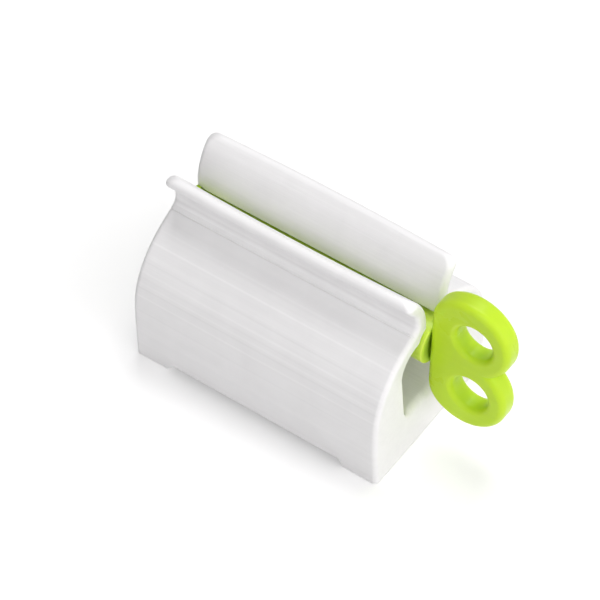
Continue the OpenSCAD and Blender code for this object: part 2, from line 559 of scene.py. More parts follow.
@dataclass(frozen=True)
class Finish:
    """A moulded finish. Constant values are set on the shader, and the effects feed what varies."""

    name: str
    colour: Colour
    shade: Colour
    roughness: float
    spread: float
    grain_size: float
    grain_depth: float
    line_depth: float
    bump: float
    subsurface: float = 0.0
    subsurface_reach: Spot = (1.0, 1.0, 0.2)
    subsurface_scale: float = 0.0
    specular: float = 0.5
    coat: float = 0.0
    contrast: float = 1.0
    # Whether lines of painted highlight and painted shade are taken from the tone
    with_painted_light: bool = False

    def material(self, effects: SurfaceEffects) -> bpy.types.Material:
        """Builds the material.

        Args:
            effects: The shared node groups.

        Returns:
            The material.
        """
        material = bpy.data.materials.new(self.name)
        material.use_nodes = True
        wiring = Wiring(material.node_tree)
        where = wiring.add("ShaderNodeTexCoord").outputs["Object"]
        grain = self.effect(wiring, effects, "moulded_grain", where,
                            {"Grain Size": self.grain_size, "Depth": self.grain_depth})
        lines = self.effect(wiring, effects, "tone_lines", where, {"Depth": self.line_depth})
        handled = self.effect(wiring, effects, "handled_surface", where,
                              {"Roughness": self.roughness, "Spread": self.spread})
        tone = wiring.math("ADD", lines.outputs["Tone"], handled.outputs["Smudge"])
        tone = wiring.remap(tone, 0.0, 2.0, 0.5 - self.contrast / 2, 0.5 + self.contrast / 2)
        # Painted highlights and painted shade along the cheeks and in the creases, taken from the tone that
        # mixes the colour and the shade
        if self.with_painted_light:
            marks = self.effect(wiring, effects, "painted_light_lines", where, {})
            tone = wiring.math("SUBTRACT", tone, marks.outputs["Tone"])
        mixed_colour = wiring.add("ShaderNodeMix", {"Factor": tone}, data_type="RGBA")
        mixed_colour.inputs["A"].default_value = (*self.colour, 1.0)
        mixed_colour.inputs["B"].default_value = (*self.shade, 1.0)
        height = wiring.math("ADD", grain.outputs["Height"], lines.outputs["Height"])
        bump = wiring.add("ShaderNodeBump", {"Height": height, "Strength": 1.0, "Distance": self.bump * MM})
        shader = wiring.add("ShaderNodeBsdfPrincipled", {
            "Base Color": mixed_colour.outputs["Result"], "Roughness": handled.outputs["Roughness"],
            "Normal": bump.outputs["Normal"], "Specular IOR Level": self.specular,
            "Subsurface Weight": self.subsurface, "Subsurface Radius": self.subsurface_reach,
            "Subsurface Scale": self.subsurface_scale * MM, "Coat Weight": self.coat, "Coat Roughness": 0.08})
        wiring.add("ShaderNodeOutputMaterial", {"Surface": shader.outputs["BSDF"]})
        return material

    @staticmethod
    def effect(wiring: Wiring, effects: SurfaceEffects, name: str, where: Socket,
               values: dict[str, float]) -> bpy.types.Node:
        """Places one shared group in the material with its own values."""
        return wiring.add("ShaderNodeGroup", {"Vector": where, **values}, node_tree=effects.trees[name])


WHITE_PLASTIC = Finish("satin_white_plastic", (0.97, 0.962, 0.967), (0.8, 0.792, 0.797), 0.42, 0.1,
                       0.35, 0.12, 1.5, 0.09, specular=0.4, contrast=0.35, with_painted_light=True)
KEY_PLASTIC = Finish("lime_key_plastic", (0.56, 0.78, 0.034), (0.52, 0.74, 0.028), 0.3, 0.08,
                     0.5, 0.2, 0.0, 0.03, subsurface=0.6, subsurface_scale=4.0, specular=0.2, coat=0.05)
SHAFT_PLASTIC = Finish("lime_shaft_plastic", (0.68, 0.9, 0.12), (0.64, 0.87, 0.1), 0.32, 0.08,
                       0.5, 0.2, 0.3, 0.03, subsurface=0.5, subsurface_scale=4.0, specular=0.3)
CAP_PLASTIC = Finish("lime_cap_plastic", (0.52, 0.76, 0.025), (0.48, 0.72, 0.02), 0.3, 0.08,
                     0.5, 0.25, 0.0, 0.03, subsurface=0.3, subsurface_scale=2.0, specular=0.3)
PAD_RUBBER = Finish("pale_pad_rubber", (0.55, 0.55, 0.55), (0.46, 0.46, 0.46), 0.75, 0.12,
                    0.25, 1.0, 0.0, 0.08, specular=0.3)


# The stand


@dataclass
class Stand:
    """The white stand: cheeks, lips, chamber, end wall with its bearing, and the corner feet."""

    length: float = 85.0
    lean: float = math.tan(math.radians(0.5))
    rim_z: float = 0.2
    foot_half: float = 27.6
    belly: Point = (28.3, 21.5)
    cheek_r: float = 26.7
    shoulder_slope: float = 28.0
    neck: Point = (7.6, 50.3)
    neck_r: float = 9.4
    neck_low_r: float = 3.2
    crease_deg: float = 220.0
    upper_crease_deg: float = 196.0
    crease_back: float = 1.5
    crease_w: float = 0.9
    crease_depth: float = 0.25
    lip_flare: float = 36.0
    lip_edge_r: float = 1.9
    lip_top_z: float = 61.9
    lip_corner_r: float = 2.8
    lip_bow: float = 0.9
    mouth_flare: float = 45.0
    slot_half: float = 2.9
    axis_z: float = 37.6
    seat_r: float = 8.4
    floor_z: float = 16.0
    chamber_half: float = 15.3
    chamber_wide_z: float = 35.0
    chamber_low_half: float = 13.9
    chamber_top_r: float = 7.4
    floor_corner_r: float = 3.2
    end_wall_x: float = 8.0
    edge_r: float = 1.7
    chamber_edge_r: float = 0.6
    floor_edge_r: float = 2.6
    # Painted highlights (strength above 0) and painted shade (below 0) of fine ridges along the cheek: an
    # angle on its curve, in degrees, and a strength
    painted_light_lines: tuple[Point, ...] = (
        (49.0, 0.36), (58.0, 0.16), (39.0, 0.12), (29.5, 0.24), (21.8, 0.14), (12.6, 0.24),
        (45.0, -0.08), (36.3, -0.2), (25.5, -0.1), (18.7, -0.22), (0.0, -0.14))
    line_half_w: float = 0.5
    # The painted shade of the two creases and a painted highlight at the neck's foot: half a width and a
    # strength
    crease_shade: Point = (0.7, -0.4)
    upper_crease_shade: Point = (0.8, -0.4)
    neck_foot_highlight: Point = (0.5, 0.1)
    bore_r: float = 7.25
    bore_open_half: float = 5.0
    recess_r: float = 9.2
    recess_x: float = 2.9
    wall_t: float = 2.4
    foot_len: float = 11.5
    notch_run: float = 2.0
    notch_h: float = 2.8
    foot_plate_w: float = 12.0
    foot_plate_h: float = 3.0
    foot_plate_raise: float = 0.15
    foot_plate_inset: float = 1.5
    foot_plate_round: float = 0.3
    pad_inset: float = 6.6
    pocket_gap_deg: float = 4.0
    pocket_drop: float = 2.0
    floor_bevel: float = 1.0
    end_spare: float = 1.0
    skirt_z: float = 12.0
    spans: int = 24
    least_span: float = 0.012
    flank_steps: int = 24
    cheek_steps: int = 360
    lower_cheek_deg: int = 30
    bend_steps: int = 16
    mouth_steps: int = 24
    mouth_lip_steps: int = 8
    floor_corner_steps: int = 10
    pocket_steps: int = 14
    crease_rows: int = 3
    soft_edge_rows: int = 3
    flank_rows: int = 8
    belly_rows: int = 34
    arc_rows: int = 60
    shoulder_rows: int = 10
    lip_rows: int = 46
    edge_steps: int = 6
    face_steps: int = 4
    round_steps: int = 48
    sharp_deg: float = 24.0

    def __post_init__(self) -> None:
        """Works out the centres that the outlines share, and where the stand lies in the row frame."""
        self.left_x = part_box("body_shell")[0].x / MM
        self.cheek_c = (self.belly[0] - self.cheek_r, self.belly[1])
        self.neck_c = (self.neck[0] + self.neck_r, self.neck[1])
        flare = math.radians(self.lip_flare)
        self.neck_foot_c = (self.neck[0] + self.neck_low_r, self.neck[1])
        neck_end = on_circle(self.neck_c, self.neck_r, 180 - self.lip_flare)
        lip_z = self.lip_top_z - self.lip_edge_r
        rise = lip_z - neck_end[1] - self.lip_edge_r * math.sin(flare)
        self.lip_c = (neck_end[0] + rise * math.tan(flare) - self.lip_edge_r * math.cos(flare), lip_z)
        mouth_top = on_circle(self.lip_c, self.lip_edge_r, 180 - self.mouth_flare)
        flare = math.radians(self.mouth_flare)
        self.mouth_r = (mouth_top[0] - self.slot_half) / (1 - math.cos(flare))
        self.mouth_c = (self.slot_half + self.mouth_r, mouth_top[1] - self.mouth_r * math.sin(flare))
        self.slot_foot_z = self.axis_z + math.sqrt(self.seat_r ** 2 - self.slot_half ** 2)
        self.hollow_x = (self.wall_t + self.end_spare, self.length - self.wall_t - self.end_spare)

    # Outlines, each from the foot up

    def flank(self) -> list[Point]:
        """The outside from the foot to the belly, which is slightly curved.

        Returns:
            Points from the lower edge to the belly.
        """
        drop, back = self.belly[1] - self.rim_z, self.belly[0] - self.foot_half
        radius = (drop ** 2 + back ** 2) / (2 * back)
        turn = math.degrees(math.asin(drop / radius))
        return arc((self.belly[0] - radius, self.belly[1]), radius, -turn, 0, self.flank_steps)

    def cheek(self) -> list[Point]:
        """The big outer curve."""
        return arc(self.cheek_c, self.cheek_r, 0, 90 - self.shoulder_slope, self.cheek_steps)

    def tone_lines(self) -> list[PaintedLightLine]:
        """The painted highlight and painted shade lines along the cheeks, the painted shade of the two
        creases under the neck and the painted highlight at the neck's foot.

        Returns:
            The lines on the cheek, then those of the creases and of the neck's foot.
        """
        lines = [PaintedLightLine(on_circle(self.cheek_c, self.cheek_r, turn), self.line_half_w, strength)
                 for turn, strength in self.painted_light_lines]
        foot = on_circle(self.neck_foot_c, self.neck_low_r, self.crease_deg)
        crease = on_circle(foot, self.crease_back, -self.shoulder_slope)
        upper = on_circle(self.neck_foot_c, self.neck_low_r, self.upper_crease_deg)
        return [*lines, PaintedLightLine(crease, *self.crease_shade), PaintedLightLine(upper, *self.upper_crease_shade),
                PaintedLightLine(foot, *self.neck_foot_highlight)]

    def outside(self) -> list[Point]:
        """The outside of one cheek, from the foot to the top of the lip.

        Returns:
            Points from the foot up, spaced as the mesh has them.
        """
        flank, cheek = self.flank(), self.cheek()
        split = next(i for i, p in enumerate(flank) if p[1] >= self.floor_z)
        middle = len(cheek) * self.lower_cheek_deg // (90 - int(self.shoulder_slope))
        steps = self.bend_steps
        low_neck = arc(self.neck_foot_c, self.neck_low_r, self.crease_deg, 180, steps)
        neck = arc(self.neck_c, self.neck_r, 180, 180 - self.lip_flare, steps)
        lip = arc(self.lip_c, self.lip_edge_r, -self.lip_flare, 90, steps)
        return chained([
            spaced(flank[:split + 1], self.flank_rows),
            spaced(chained([flank[split:], cheek[:middle + 1]]), self.belly_rows),
            spaced(cheek[middle:], self.arc_rows),
            self.shoulder(cheek[-1], low_neck[0]),
            spaced(low_neck + neck[1:] + lip, self.lip_rows)])

    def shoulder(self, start: Point, end: Point) -> list[Point]:
        """The flat part between the cheek's curve and the neck, with a fine crease at the neck.

        Args:
            start: End of the cheek's curve.
            end: Start of the neck.

        Returns:
            Points from the start to the end.
        """
        length, half = math.dist(start, end), self.crease_w / 2
        backs = (self.crease_back + half, self.crease_back, self.crease_back - half)
        before, middle, after = (mixed(start, end, 1 - back / length) for back in backs)
        way = ((end[0] - start[0]) / length, (end[1] - start[1]) / length)
        bottom = (middle[0] - way[1] * self.crease_depth, middle[1] + way[0] * self.crease_depth)
        return [*spaced([start, before], self.shoulder_rows - self.crease_rows), bottom, after, end]

    def mouth(self) -> list[Point]:
        """The inside of one lip, from the slot's foot to the top of the lip.

        Returns:
            As many points as the lip's outside has rows.
        """
        curve = arc(self.mouth_c, self.mouth_r, 180, 180 - self.mouth_flare, self.mouth_steps)
        lip = arc(self.lip_c, self.lip_edge_r, 180 - self.mouth_flare, 90, self.mouth_lip_steps)
        return spaced([(self.slot_half, self.slot_foot_z)] + curve + lip[1:], self.lip_rows)

    def chamber(self) -> tuple[list[Point], list[Point], list[Point]]:
        """The chamber's outline in three parts: floor, wall and roof.

        Returns:
            The points of the floor, of the wall and of the roof.
        """
        floor_in = self.chamber_low_half - self.floor_corner_r
        corner_c = (floor_in, self.floor_z + self.floor_corner_r)
        corner = arc(corner_c, self.floor_corner_r, -90, 0, self.floor_corner_steps)
        top_c = (self.chamber_half - self.chamber_top_r, self.chamber_wide_z)
        top = arc(top_c, self.chamber_top_r, 0, 90, self.bend_steps)
        start = math.degrees(math.asin((top[-1][1] - self.axis_z) / self.seat_r))
        end = math.degrees(math.acos(self.slot_half / self.seat_r))
        roof = arc((0, self.axis_z), self.seat_r, start, end, self.bend_steps)
        return (spaced([(0.0, self.floor_z)] + corner, self.belly_rows),
                spaced([corner[-1]] + top, self.arc_rows),
                spaced([top[-1]] + roof[1:], self.shoulder_rows))

    def hollow(self) -> list[Point]:
        """The hollow under one cheek, from the skirt over the pocket's top to the middle plane.

        Returns:
            Points from the lower edge to the middle plane.
        """
        pocket_in = self.chamber_half + self.wall_t
        pocket_r = self.cheek_r - self.wall_t
        turn = math.degrees(math.acos((pocket_in - self.cheek_c[0]) / pocket_r)) - self.pocket_gap_deg
        top = arc(self.cheek_c, pocket_r, 0, turn, self.pocket_steps)
        under = self.floor_z - self.wall_t
        return [(self.foot_half - self.wall_t, self.rim_z), (self.belly[0] - self.wall_t, self.skirt_z), *top,
                (pocket_in, top[-1][1] - self.pocket_drop), (pocket_in, self.chamber_wide_z),
                (self.chamber_low_half + self.wall_t, self.floor_z),
                (self.chamber_low_half - self.floor_bevel, under),
                (0.0, under)]

    # Places along the length

    def end_in(self, z: float) -> float:
        """How far the end face lies inside the foot's end at a height, with its lean and the lip's corner.

        Args:
            z: Height over the table.

        Returns:
            The distance in from the end.
        """
        inset = self.lean * z
        over = z - (self.lip_top_z - self.lip_corner_r)
        if over > 0:
            inset += self.lip_corner_r - math.sqrt(max(self.lip_corner_r ** 2 - over ** 2, 0.0))
        return inset

    def rim(self, x: float) -> float:
        """Height of the stand's lower edge at a place along it, which is raised between the corner feet."""
        near = min(x - self.foot_len, self.length - self.foot_len - x)
        return self.rim_z + self.notch_h * min(max(near / self.notch_run, 0.0), 1.0)

    def bow(self, x: float, z: float) -> float:
        """How far a lip bends away from the middle plane.

        Args:
            x: Place along the stand.
            z: Height over the table.

        Returns:
            The distance that is added to a point's own.
        """
        along = (x - self.length / 2) / (self.length / 2)
        height = smooth((z - self.slot_foot_z) / (self.lip_top_z - self.slot_foot_z))
        return self.lip_bow * height * max(1 - along ** 2, 0.0)

    def spot(self, point: Point, x: float) -> Spot:
        """A point of the back half in the row frame."""
        return (self.left_x + x, point[0] + self.bow(x, point[1]), point[1])

    def stations(self) -> list[float]:
        """Places between the rounded ends, as shares of the way, with the notches' corners among them.

        Returns:
            Shares of the way in rising order.
        """
        run = self.length - 2 * self.edge_r
        corners = [self.foot_len, self.foot_len + self.notch_run]
        marks = [self.hollow_x[0], *corners, *(self.length - c for c in corners), self.hollow_x[1]]
        exact = {(m - self.edge_r) / run for m in marks}
        kept: list[float] = []
        for share in sorted(exact | {i / self.spans for i in range(self.spans + 1)}):
            if share in exact or not kept or share - kept[-1] >= self.least_span:
                kept.append(share)
        return kept

    def lofted(self, shell: Shell, path: Sequence[Point], into: Sequence[Point], radii: Sequence[float],
               from_x: Optional[float] = None) -> list[list[Vert]]:
        """Runs an outline along the stand, with rounded edges at the end faces.

        Args:
            shell: The mesh under construction.
            path: The outline.
            into: For each point, the direction into the material.
            radii: For each point, the radius of its edge at the ends.
            from_x: Where the run starts instead of the left end.

        Returns:
            One row for each place along the stand, from the left to the right.
        """
        turns = [math.pi / 2 * k / self.edge_steps for k in range(self.edge_steps)]
        if from_x is None:
            rows = [self.edge_row(shell, path, into, radii, turn, False) for turn in turns]
            shares = self.stations()
        else:
            rows = [shell.row([self.spot(point, from_x) for point in path])]
            first = (from_x - self.edge_r) / (self.length - 2 * self.edge_r)
            shares = [share for share in self.stations() if share > first + self.least_span]
        for share in shares:
            row = []
            for point, radius in zip(path, radii):
                inset = self.end_in(point[1]) + radius
                x = inset + share * (self.length - 2 * inset)
                row.append(self.spot((point[0], max(point[1], self.rim(x))), x))
            rows.append(shell.row(row))
        return rows + [self.edge_row(shell, path, into, radii, turn, True) for turn in reversed(turns)]

    def edge_row(self, shell: Shell, path: Sequence[Point], into: Sequence[Point], radii: Sequence[float],
                 turn: float, right: bool) -> list[Vert]:
        """One row of a rounded edge: turn is 0 on the end face and a right angle on the outline.

        Args:
            shell: The stand's mesh.
            path: The outline.
            into: Ways from the outline into the material.
            radii: Edge radius at each point.
            turn: Angle around the rounded edge, in radians.
            right: Whether the edge is at the right end.

        Returns:
            The row's vertices.
        """
        row = []
        for point, way, radius in zip(path, into, radii):
            sunk = radius * (1 - math.sin(turn))
            moved = (point[0] + way[0] * sunk, point[1] + way[1] * sunk)
            moved = self.mitred(point, moved, sunk) if right else moved
            x = self.end_in(moved[1]) + radius * (1 - math.cos(turn))
            row.append(self.spot(moved, self.length - x if right else x))
        return shell.row(row)

    def mitred(self, point: Point, moved: Point, sunk: float) -> Point:
        """Keeps a moved point of the slot's side or the chamber's roof out of the other one's rounded edge.

        Args:
            point: Where the point lies on the outline.
            moved: The point after its move into the material.
            sunk: How far it was moved.

        Returns:
            The moved point, or the corner of the two moved outlines if it went past that corner.
        """
        corner_y = self.slot_half + sunk
        corner = (corner_y, self.axis_z + math.sqrt((self.seat_r + sunk) ** 2 - corner_y ** 2))
        beyond_slot = point[0] > self.neck[0] - 1 and point[1] < self.neck[1]
        if beyond_slot:
            return moved
        if point[1] > self.slot_foot_z - SAME_PLACE:
            return (moved[0], max(moved[1], corner[1]))
        return corner if point[1] > self.chamber_wide_z and moved[0] < corner_y else moved

    def end_face(self, shell: Shell, outer: Row, inner: Sequence[Point], right: bool) -> None:
        """Closes an end between the outside and an inner outline: one flat face, and a sheet in the lip.

        Args:
            shell: The mesh under construction.
            outer: The outside's last row of points.
            inner: The inner outline, already moved into the material, which ends with the lip's inside.
            right: Whether this is the right end.
        """
        def spots(points: Iterable[Point]) -> list[Spot]:
            """The points on the end face."""
            places = [(self.end_in(p[1]), p) for p in points]
            return [(self.left_x + (self.length - x if right else x), *p) for x, p in places]

        lip = len(outer) - self.lip_rows
        edge = shell.row(spots(inner[:-self.lip_rows]))
        rows = [list(outer[lip:])]
        for step in range(1, self.face_steps + 1):
            t = step / self.face_steps
            pairs = zip(outer[lip:], inner[-self.lip_rows:])
            rows.append(shell.row(spots(mixed((v.co.y, v.co.z), goal, t) for v, goal in pairs)))
        shell.sheet(rows)
        skirt = shell.row(spots([(self.foot_half - self.wall_t, self.rim_z)]))
        shell.face([*outer[:lip], *(row[0] for row in rows), *reversed(edge), *skirt])

    # Building

    def build(self) -> bpy.types.Object:
        """Builds the stand's mesh: its back half, which is then mirrored.

        Returns:
            The stand.
        """
        shell = Shell()
        outside, mouth = self.outside(), self.mouth()
        floor, wall, roof = self.chamber()
        into_out = normals_left(outside)
        into_out[0] = (-1.0, 0.0)
        into_mouth = [(-n[0], -n[1]) for n in normals_left(mouth)]
        into_out[-1] = into_mouth[-1] = (0.0, -1.0)
        skin = self.lofted(shell, outside, into_out, [self.edge_r] * len(outside))
        throat = self.lofted(shell, mouth, into_mouth, [self.edge_r] * len(mouth))
        shell.sheet(skin)
        shell.sheet(throat)
        inside = chained([floor, wall, roof])
        into_inside = [(-n[0], -n[1]) for n in normals_left(inside)]
        into_inside[0] = (0.0, -1.0)
        last = len(inside) - 1
        radii = [self.chamber_edge(i, last) for i in range(last + 1)]
        into_inside[last] = into_mouth[0]
        lining = self.lofted(shell, inside, into_inside, radii, from_x=self.end_wall_x)
        shell.sheet(lining)
        self.right_end(shell, skin[-1], throat[-1], lining[-1])
        places = self.recess(shell, throat, lining[1][-1].co.x)
        self.left_end(shell, skin[0], throat[0])
        self.end_wall(shell, inside, places)
        self.underside(shell, skin)
        bmesh.ops.mirror(shell.bm, geom=shell.bm.verts[:] + shell.bm.edges[:] + shell.bm.faces[:],
                         axis="Y", merge_dist=SAME_SPOT)
        self.feet(shell)
        return shell.piece("winder_stand", self.sharp_deg)

    def chamber_edge(self, i: int, last: int) -> float:
        """Radius of the edge around the chamber's opening: soft at the floor, sharper at the side.

        Args:
            i: Index of a point of the lining.
            last: Index of its last point.

        Returns:
            The radius.
        """
        low = smooth((self.belly_rows * 0.9 - i) / (self.belly_rows * 0.35))
        high = smooth((i - last + self.shoulder_rows) / (self.shoulder_rows - self.soft_edge_rows))
        side = self.chamber_edge_r
        return side + (self.floor_edge_r - side) * low + (self.edge_r - side) * high

    def right_end(self, shell: Shell, outer: Row, throat: Row, lining: Row) -> None:
        """Closes the right end around the chamber's opening."""
        around, lips = ([(v.co.y, v.co.z) for v in row] for row in (lining, throat))
        self.end_face(shell, outer, [(0.0, self.rim_z), *around, *lips[1:]], right=True)

    def left_end(self, shell: Shell, outer: Row, throat: Row) -> None:
        """Closes the left end around the recess of the end cap.

        Args:
            shell: The stand's mesh.
            outer: Row of the outside at the left end.
            throat: Row of the slot's side at the left end.
        """
        lips = [(v.co.y, v.co.z) for v in throat]
        ring = self.round_to(self.recess_r, throat[0].co.y)
        self.end_face(shell, outer, [(0.0, self.rim_z), *ring, *lips], right=False)

    def round_to(self, radius: float, half: float) -> list[Point]:
        """An arc about the shaft's axis, from its lowest point up to a distance from the middle plane."""
        return arc((0.0, self.axis_z), radius, -90, math.degrees(math.acos(half / radius)), self.round_steps)

    def end_wall(self, shell: Shell, inside: Sequence[Point], places: Sequence[float]) -> None:
        """Adds the bore, which opens into the slot, the chamber's left side and the recess's floor.

        Args:
            shell: The mesh under construction.
            inside: The chamber's outline.
            places: Where the bore has rows of points along its length.
        """
        bore = self.round_to(self.bore_r, self.bore_open_half)
        seat = [p for p in inside if p[0] <= self.bore_open_half and p[1] > self.axis_z]
        shell.sheet([shell.row([self.spot(p, x) for p in bore + seat]) for x in places])
        wall = [p for p in inside if p[0] > self.bore_open_half or p[1] < self.axis_z]
        shell.face(shell.row([self.spot(p, self.end_wall_x) for p in [*wall, seat[0], *reversed(bore)]]))
        edge = self.round_to(self.recess_r, self.slot_half)
        shell.face(shell.row([self.spot(p, self.recess_x) for p in [*edge, *reversed(bore + seat)]]))

    def recess(self, shell: Shell, throat: Sequence[Row], lined_x: float) -> list[float]:
        """Adds the wall of the recess around the end cap, up to the slot's rounded edge.

        Args:
            shell: The mesh under construction.
            throat: The rows of the slot's side, from the left.
            lined_x: Where the chamber's second row stands in the row frame.

        Returns:
            Places of the slot's lowest points from the recess's floor to the chamber.
        """
        feet = [row[0] for row in throat if row[0].co.x - self.left_x < self.recess_x]
        rows = []
        for foot in feet:
            ring = self.round_to(self.recess_r, foot.co.y)
            sunk = foot.co.x - self.left_x - self.end_in(foot.co.z)
            foot.co.z = max(foot.co.z, ring[-1][1])
            foot.co.x = self.left_x + sunk + self.end_in(foot.co.z)
            rows.append(shell.row([(self.left_x + sunk + self.end_in(p[1]), *p) for p in ring]))
        shell.sheet([feet, [row[-1] for row in rows]])
        last = self.round_to(self.recess_r, self.slot_half)
        rows.append(shell.row([self.spot(p, self.recess_x) for p in last]))
        shell.sheet(rows)
        walled = [row[0] for row in throat[len(feet):] if row[0].co.x < lined_x - NEAR]
        walled[0].co.x, walled[-1].co.x = (self.left_x + x for x in (self.recess_x, self.end_wall_x))
        corner = bmesh.utils.edge_split(shell.bm.edges.get((feet[-1], walled[0])), feet[-1], 0.5)[1]
        corner.co = self.spot(last[-1], self.recess_x)
        return [foot.co.x - self.left_x for foot in walled]

    def underside(self, shell: Shell, skin: Sequence[Row]) -> None:
        """Adds the lower edge, the skirt's inside, the pocket and the floor's underside.

        Args:
            shell: The stand's mesh.
            skin: The outside's rows, each from the foot up.
        """
        path = self.hollow()
        start, end = (self.left_x + x for x in self.hollow_x)
        skirt = path[0][0]
        rows, band_left, band_right = [], [], []
        for foot in (line[0] for line in skin):
            x = foot.co.x
            for band, belongs in ((band_left, x <= start + NEAR), (band_right, x >= end - NEAR)):
                if belongs:
                    band.append([foot, *shell.row([(x, skirt, self.rim_z), (x, 0.0, self.rim_z)])])
            if start - NEAR <= x <= end + NEAR:
                rim = self.rim(x - self.left_x)
                rows.append([foot, *shell.row([(x, p[0], max(p[1], rim)) for p in path])])
        for sheet in (band_left, band_right, rows):
            shell.sheet(sheet)
        for row in (rows[0], rows[-1]):
            shell.face([*row[1:], shell.row([(row[0].co.x, 0.0, self.rim_z)])[0]])

    def feet(self, shell: Shell) -> None:
        """Adds the plates across the four corners that hold the pads.

        Args:
            shell: The stand's mesh.
        """
        half, inset = self.foot_plate_w / 2, self.foot_plate_inset
        for x in (self.pad_inset, self.length - self.pad_inset):
            for y in (self.pad_inset - self.foot_half, self.foot_half - self.pad_inset):
                x_low, x_high = max(x - half, inset), min(x + half, self.length - inset)
                y_low, y_high = max(y - half, inset - self.foot_half), min(y + half, self.foot_half - inset)
                low, high = self.rim_z + self.foot_plate_raise, self.rim_z + self.foot_plate_h
                shell.box((self.left_x + x_low, y_low, low), (self.left_x + x_high, y_high, high),
                          self.foot_plate_round)


# The winder


@dataclass
class WinderPart:
    """What the winder's pieces share."""

    left_x: float
    axis_z: float
    turn: float = 2.0
    face_x: float = 85.2
    tang: Spot = (7.0, 4.0, 9.0)
    chamfer: float = 0.2

    def ended(self, shell: Shell, name: str) -> bpy.types.Object:
        """Turns a finished mesh with the winder and makes its object."""
        shell.wind(self.turn, self.axis_z)
        return shell.piece(name)

    def tang_block(self, shell: Shell, shorter: float, past: float) -> None:
        """Adds a block as wide and high as the tang.

        Args:
            shell: The mesh under construction.
            shorter: How much shorter it is inside the shaft than the tang.
            past: How far it reaches past the shaft's face.
        """
        depth, width, height = self.tang
        face = self.left_x + self.face_x
        shell.box((face - depth + shorter, -width / 2, self.axis_z - height / 2),
                  (face + past, width / 2, self.axis_z + height / 2), self.chamfer)


@dataclass
class Shaft(WinderPart):
    """The green shaft with its slit, the spigot for the end cap and the socket for the key."""

    radius: float = 7.2
    edge_r: float = 0.3
    start_x: float = 2.55
    spigot_r: float = 3.2
    spigot_x: float = 1.3
    slit_w: float = 2.2
    slit_x: float = 11.5
    slit_len: float = 65.0

    def build(self) -> bpy.types.Object:
        """Builds the shaft.

        Returns:
            The shaft.
        """
        shell = Shell()
        start, face, corner, cut = self.start_x, self.face_x, self.edge_r, self.chamfer
        tip = self.spigot_x
        profile = [(tip, 0.0), (tip, self.spigot_r - cut), (tip + cut, self.spigot_r), (start, self.spigot_r),
                   (start, self.radius - corner), (start + corner, self.radius)]
        rounded = reversed(arc((0, 0), corner, 0, 90, 4))
        profile += [(face - corner + x, self.radius - corner + r) for x, r in rounded] + [(face, 0.0)]
        shell.turned(profile, (self.left_x, 0.0, self.axis_z), False)
        shaft = self.ended(shell, "split_green_shaft")
        carve(shaft, [self.slit(), self.socket()])
        return shaft

    def slit(self) -> bpy.types.Object:
        """A solid the shape of the slit, with round ends.

        Returns:
            The solid that is cut away.
        """
        shell = Shell()
        half = self.slit_w / 2
        ends = (self.slit_x + half, self.slit_x + self.slit_len - half)
        outline = arc((ends[0], 0.0), half, 90, 270, 12) + arc((ends[1], 0.0), half, -90, 90, 12)
        reach = self.radius + 1
        levels = (self.axis_z - reach, self.axis_z + reach)
        rows = [shell.row([(self.left_x + x, y, z) for x, y in outline]) for z in levels]
        shell.sheet(rows, closed=True)
        for row in rows:
            shell.face(row)
        return self.ended(shell, "slit_cutter")

    def socket(self) -> bpy.types.Object:
        """A solid the shape of the socket in the right face.

        Returns:
            The solid that is cut away.
        """
        shell = Shell()
        self.tang_block(shell, 0.0, 1.0)
        return self.ended(shell, "socket_cutter")


